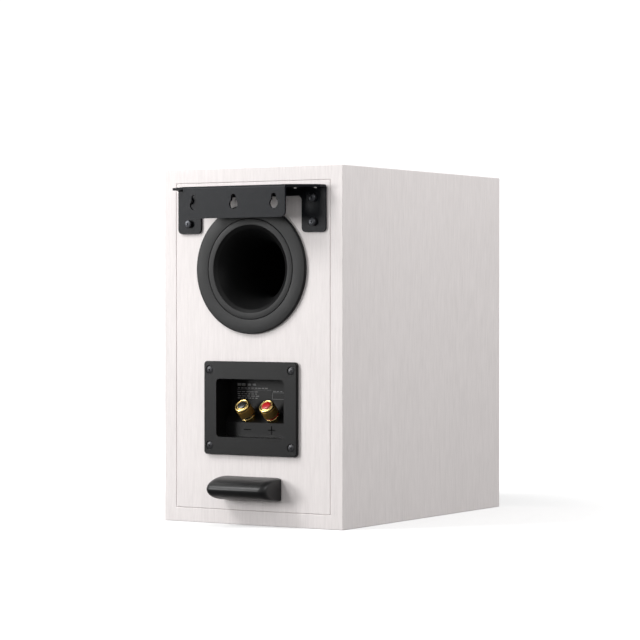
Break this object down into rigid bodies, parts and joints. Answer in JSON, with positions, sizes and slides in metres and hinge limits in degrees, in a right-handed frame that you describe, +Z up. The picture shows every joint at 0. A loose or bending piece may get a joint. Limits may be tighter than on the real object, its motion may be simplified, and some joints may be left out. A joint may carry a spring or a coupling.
{
  "type": "bookshelf speaker",
  "caption": "Passive bookshelf speaker: a white cabinet with a rear port, clamping binding posts in a recess, a coaxial driver in front, and a steel bracket for hanging it on a wall.",
  "frame": {"origin": "middle of the underside of the cabinet", "axes": "-Y out of the front, +Y out of the rear, +Z up, +X to the right as seen from the front"},
  "size_m": [0.18, 0.307, 0.302],
  "materials": {
    "vinyl_white": "satin white vinyl wrap over fibreboard, with a fine upright grain",
    "fibreboard": "raw fibreboard",
    "wadding": "soft polyester wadding",
    "port_plastic": "matte dark charcoal moulded plastic",
    "plate_plastic": "finely textured black moulded plastic",
    "foam_seal": "closed-cell foam",
    "spacer_rubber": "matte black rubber",
    "adhesive": "foam adhesive pad",
    "powder_coat": "satin blue-grey powder-coated steel",
    "black_screw": "black zinc-plated steel",
    "bracket_screw": "dark zinc-plated steel",
    "brass_insert": "machined brass",
    "gold_plate": "polished gold-plated brass",
    "red_plastic": "glossy red plastic",
    "black_plastic": "glossy black plastic",
    "tinned": "tinned brass",
    "cast_frame": "black painted cast aluminium",
    "steel": "zinc-plated steel",
    "ferrite": "ground ferrite",
    "cone_paper": "satin grey coated cone",
    "surround_rubber": "satin black rubber",
    "spider_cloth": "impregnated cloth",
    "former": "bare aluminium foil",
    "copper": "enamelled copper wire",
    "trim_ring": "satin black moulded ring",
    "dome": "anodised aluminium dome",
    "circuit_board": "green circuit board",
    "film_can": "glossy film capacitor sleeve",
    "cement": "white cement",
    "nylon": "white nylon",
    "wire_red": "red insulated wire",
    "wire_black": "black insulated wire"
  },
  "bodies": {
    "cabinet": {"bracket_inserts": "brass_insert", "bracket_screws": "bracket_screw", "cabinet_bottom": "vinyl_white", "cabinet_left": "vinyl_white", "cabinet_right": "vinyl_white", "cabinet_top": "vinyl_white", "crossover_board": "circuit_board", "crossover_capacitors": "film_can", "crossover_inductors": "copper", "crossover_resistors": "cement", "crossover_standoffs": "nylon", "damping_pads": "wadding", "driver_basket": "cast_frame", "driver_gasket": "foam_seal", "driver_screws": "black_screw", "driver_terminal_strip": "plate_plastic", "driver_trim_ring": "trim_ring", "front_baffle": "vinyl_white", "internal_brace": "fibreboard", "lower_spacer": "spacer_rubber", "negative_collar": "gold_plate", "negative_post": "gold_plate", "port_inner_flare": "port_plastic", "port_trim_ring": "port_plastic", "port_tube": "port_plastic", "positive_collar": "gold_plate", "positive_post": "gold_plate", "post_nuts": "brass_insert", "post_solder_tags": "tinned", "rear_panel": "vinyl_white", "spacer_adhesive_pad": "adhesive", "terminal_gasket": "foam_seal", "terminal_plate": "plate_plastic", "terminal_screws": "black_screw", "tweeter_cup": "steel", "tweeter_magnet": "ferrite", "tweeter_top_plate": "steel", "tweeter_waveguide": "trim_ring", "wall_bracket": "powder_coat", "wiring_negative": "wire_black", "wiring_positive": "wire_red", "woofer_magnet": "ferrite", "woofer_spider": "spider_cloth", "woofer_surround": "surround_rubber", "woofer_top_plate": "steel", "woofer_yoke": "steel"},
    "woofer": {"woofer_cone": "cone_paper", "voice_coil_former": "former", "voice_coil_winding": "copper"},
    "tweeter": {"tweeter_dome": "dome", "tweeter_voice_coil": "copper"},
    "negative_washer": {"negative_ring": "black_plastic"},
    "negative_knob": {"negative_knob": "gold_plate"},
    "negative_plug": {"negative_socket_plug": "black_plastic"},
    "positive_washer": {"positive_ring": "red_plastic"},
    "positive_knob": {"positive_knob": "gold_plate"},
    "positive_plug": {"positive_socket_plug": "red_plastic"}
  },
  "joints": [
    {"name": "woofer_travel", "type": "slide", "parent": "cabinet", "child": "woofer", "axis": [0, -1, 0], "range_m": [-0.004, 0.004], "stiffness_N_per_m": 1200, "deforming": ["woofer_surround", "woofer_spider"]},
    {"name": "tweeter_travel", "type": "slide", "parent": "cabinet", "child": "tweeter", "axis": [0, -1, 0], "range_m": [-0.0004, 0.0004], "stiffness_N_per_m": 300},
    {"name": "negative_washer_lift", "type": "slide", "parent": "cabinet", "child": "negative_washer", "axis": [0, 0.7431, 0.6691], "range_m": [0, 0.005]},
    {"name": "negative_knob_turn", "type": "hinge", "parent": "negative_washer", "child": "negative_knob", "pos_m": [0.0123, 0.12263, 0.09005], "axis": [0, 0.7431, 0.6691], "range_deg": [0, 1800]},
    {"name": "negative_plug_pull", "type": "slide", "parent": "cabinet", "child": "negative_plug", "axis": [0, 0.7431, 0.6691], "range_m": [0, 0.02]},
    {"name": "positive_washer_lift", "type": "slide", "parent": "cabinet", "child": "positive_washer", "axis": [0, 0.7431, 0.6691], "range_m": [0, 0.005]},
    {"name": "positive_knob_turn", "type": "hinge", "parent": "positive_washer", "child": "positive_knob", "pos_m": [-0.0123, 0.12263, 0.09005], "axis": [0, 0.7431, 0.6691], "range_deg": [0, 1800]},
    {"name": "positive_plug_pull", "type": "slide", "parent": "cabinet", "child": "positive_plug", "axis": [0, 0.7431, 0.6691], "range_m": [0, 0.02]}
  ],
  "couplings": [
    {"joint": "negative_washer_lift", "follows": "negative_knob_turn", "m_per_rad": 0.00015915},
    {"joint": "positive_washer_lift", "follows": "positive_knob_turn", "m_per_rad": 0.00015915}
  ]
}
